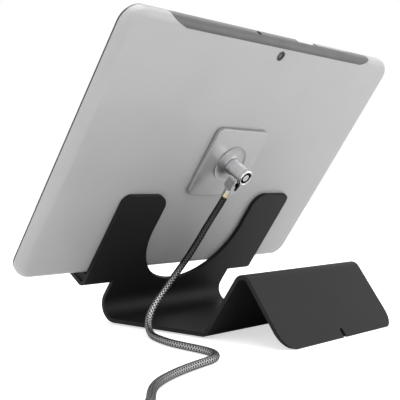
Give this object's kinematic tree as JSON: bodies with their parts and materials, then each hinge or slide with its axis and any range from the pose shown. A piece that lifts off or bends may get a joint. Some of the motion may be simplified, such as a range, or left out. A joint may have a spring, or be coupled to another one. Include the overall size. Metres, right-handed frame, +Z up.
{
  "type": "tablet security kiosk stand",
  "caption": "Bent sheet stand that holds a tablet leaning back, with a glued plate, swivelling key lock and looped security cable.",
  "frame": {"origin": "middle of the flat base, on the surface that it stands on", "axes": "+Z up, the tablet's screen faces -Y and leans back towards +Y, +X along the tablet's width"},
  "size_m": [0.3937, 0.2706, 0.1811],
  "materials": {
    "stand_paint": "matte black powder coat",
    "pad_rubber": "matte",
    "shell_plastic": "satin silver grey",
    "band_plastic": "fine dark grey",
    "bezel_plastic": "gloss black",
    "front_glass": "polished",
    "panel_black": "smooth",
    "cell_foil": "satin",
    "board_green": "solder mask",
    "module_black": "matte",
    "ring_metal": "satin",
    "lens_glass": "polished",
    "port_metal": "satin",
    "button_plastic": "fine light grey",
    "adhesive": "matte foam tape",
    "plate_paint": "satin silver grey",
    "lock_chrome": "polished",
    "lock_steel": "satin",
    "keyway_steel": "dark",
    "ferrule_brass": "satin",
    "cable_sleeve": "dark steel braid seen through a clear sleeve",
    "crimp_aluminium": "satin"
  },
  "bodies": {
    "stand": {"stand_plate": "stand_paint", "base_pad": "pad_rubber", "ledge_pads": "pad_rubber", "cable_lower": "cable_sleeve", "cable_coil": "cable_sleeve", "cable_eye": "cable_sleeve", "crimp_sleeve": "crimp_aluminium"},
    "tablet": {"tablet_back_shell": "shell_plastic", "trim_band": "band_plastic", "bezel_frame": "bezel_plastic", "front_glass": "front_glass", "display_panel": "panel_black", "battery_cells": "cell_foil", "main_board": "board_green", "camera_module": "module_black", "camera_ring": "ring_metal", "camera_lens": "lens_glass", "speakers": "module_black", "dock_port": "port_metal", "headphone_jack": "module_black", "edge_switches": "module_black", "adhesive_pad": "adhesive", "security_plate": "plate_paint", "lock_base": "lock_chrome", "slot_studs": "lock_steel", "lock_body": "lock_chrome", "cable_upper": "cable_sleeve"},
    "lock_core": {"lock_plug": "keyway_steel", "tumbler_pins": "ferrule_brass", "locking_bar": "lock_steel"},
    "collar": {"swivel_collar": "lock_chrome", "clevis_pin": "lock_steel"},
    "cable_end": {"cable_end": "lock_chrome", "ferrule": "ferrule_brass", "cable_tail": "cable_sleeve"},
    "power_button": {"power_button": "button_plastic"},
    "volume_rocker": {"volume_rocker": "button_plastic"}
  },
  "joints": [
    {"name": "tablet_lift", "type": "slide", "parent": "stand", "child": "tablet", "axis": [0, 0.5807, 0.8141], "range_m": [0, 0.05]},
    {"name": "key_turn", "type": "hinge", "parent": "tablet", "child": "lock_core", "pos_m": [0.0052, 0.02882, 0.09435], "axis": [0, 0.8141, -0.5807], "range_deg": [0, 90]},
    {"name": "collar_swivel", "type": "hinge", "parent": "tablet", "child": "collar", "pos_m": [0.0052, 0.02284, 0.09862], "axis": [0, 0.8141, -0.5807], "range_deg": [-35, 35]},
    {"name": "end_tilt", "type": "hinge", "parent": "collar", "child": "cable_end", "pos_m": [0.00779, 0.01922, 0.08933], "axis": [0.9659, 0.1503, 0.2107], "range_deg": [-30, 25]},
    {"name": "power_press", "type": "slide", "parent": "tablet", "child": "power_button", "axis": [0, -0.5807, -0.8141], "range_m": [0, 0.0004], "stiffness_N_per_m": 400},
    {"name": "volume_rock", "type": "hinge", "parent": "tablet", "child": "volume_rocker", "pos_m": [-0.0462, 0.05834, 0.17758], "axis": [0, 0.8141, -0.5807], "range_deg": [-1.2, 1.2], "stiffness_Nm_per_rad": 0.4}
  ]
}
